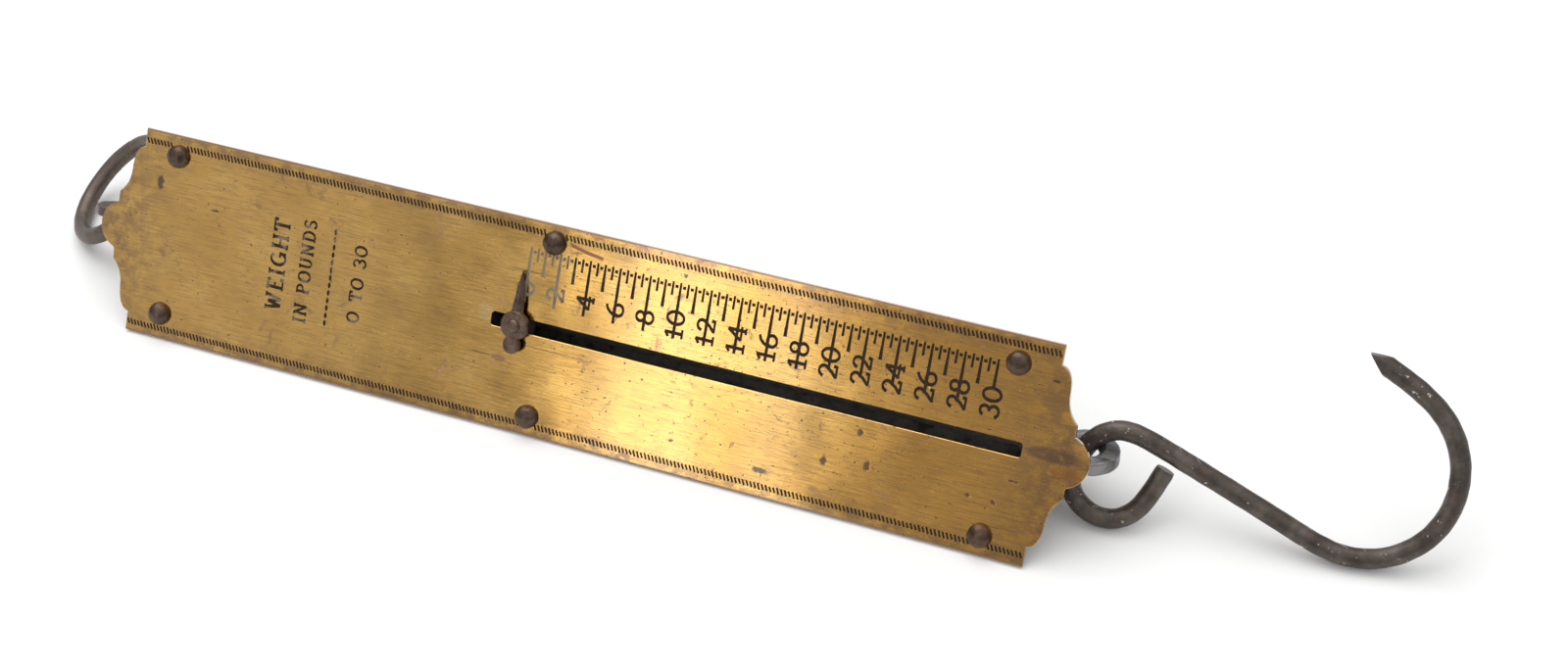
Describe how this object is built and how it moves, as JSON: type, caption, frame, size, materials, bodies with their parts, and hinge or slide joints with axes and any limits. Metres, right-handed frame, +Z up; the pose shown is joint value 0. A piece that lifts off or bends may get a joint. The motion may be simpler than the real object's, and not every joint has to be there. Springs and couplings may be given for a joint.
{
  "type": "hanging spring scale",
  "caption": "Straight spring scale: slotted flat face plate with a sliding pointer, half-round back casing, suspension ring at one end and a hook at the other.",
  "frame": {"origin": "under the middle of the scale's box, on the surface that it lies on", "axes": "+X along the face plate towards the hook, +Z up from the surface; the face plate looks towards -Y and up"},
  "size_m": [0.4014, 0.0594, 0.0487],
  "materials": {
    "brass_plate": "brushed brass, tarnished and scratched",
    "sheet_iron": "japanned sheet iron, worn",
    "rivet_iron": "browned iron",
    "pointer_iron": "browned iron",
    "forged_iron": "forged iron, worn bright on the eye",
    "wire_iron": "dark iron wire, lightly rusted",
    "spring_steel": "oiled dark spring steel",
    "bright_steel": "dull steel",
    "bush_brass": "dull brass"
  },
  "bodies": {
    "housing": {"face_plate": "brass_plate", "back_casing": "sheet_iron", "plate_rivet_1": "rivet_iron", "plate_rivet_2": "rivet_iron", "plate_rivet_3": "rivet_iron", "plate_rivet_4": "rivet_iron", "plate_rivet_5": "rivet_iron", "plate_rivet_6": "rivet_iron", "upper_end_plate": "sheet_iron", "lower_end_plate": "sheet_iron", "upper_end_rivet_left": "rivet_iron", "upper_end_rivet_right": "rivet_iron", "lower_end_rivet_left": "rivet_iron", "lower_end_rivet_right": "rivet_iron", "anchor_eye": "forged_iron", "anchor_washer": "bright_steel", "anchor_nut": "bright_steel", "upper_spring_plug": "forged_iron", "upper_plug_pin": "bright_steel", "guide_bush": "bush_brass", "spring": "spring_steel"},
    "draw": {"draw_rod": "forged_iron", "lower_spring_plug": "forged_iron", "lower_plug_pin": "bright_steel", "pointer": "pointer_iron", "pointer_stud": "rivet_iron", "slider_washer": "bright_steel"},
    "ring": {"suspension_ring": "wire_iron"},
    "hook": {"s_hook": "wire_iron"}
  },
  "joints": [
    {"name": "draw_slide", "type": "slide", "parent": "housing", "child": "draw", "axis": [1, 0, 0], "range_m": [0, 0.133], "stiffness_N_per_m": 1050, "deforming": ["spring"]},
    {"name": "ring_swing", "type": "hinge", "parent": "housing", "child": "ring", "pos_m": [-0.1734, -0.00045, 0.01575], "axis": [0.5202, 0.6448, 0.56], "range_deg": [-32, 120]},
    {"name": "hook_swing", "type": "hinge", "parent": "draw", "child": "hook", "pos_m": [0.10781, -0.00059, 0.01609], "axis": [0.4083, 0.569, 0.7138], "range_deg": [-42, 85]}
  ]
}
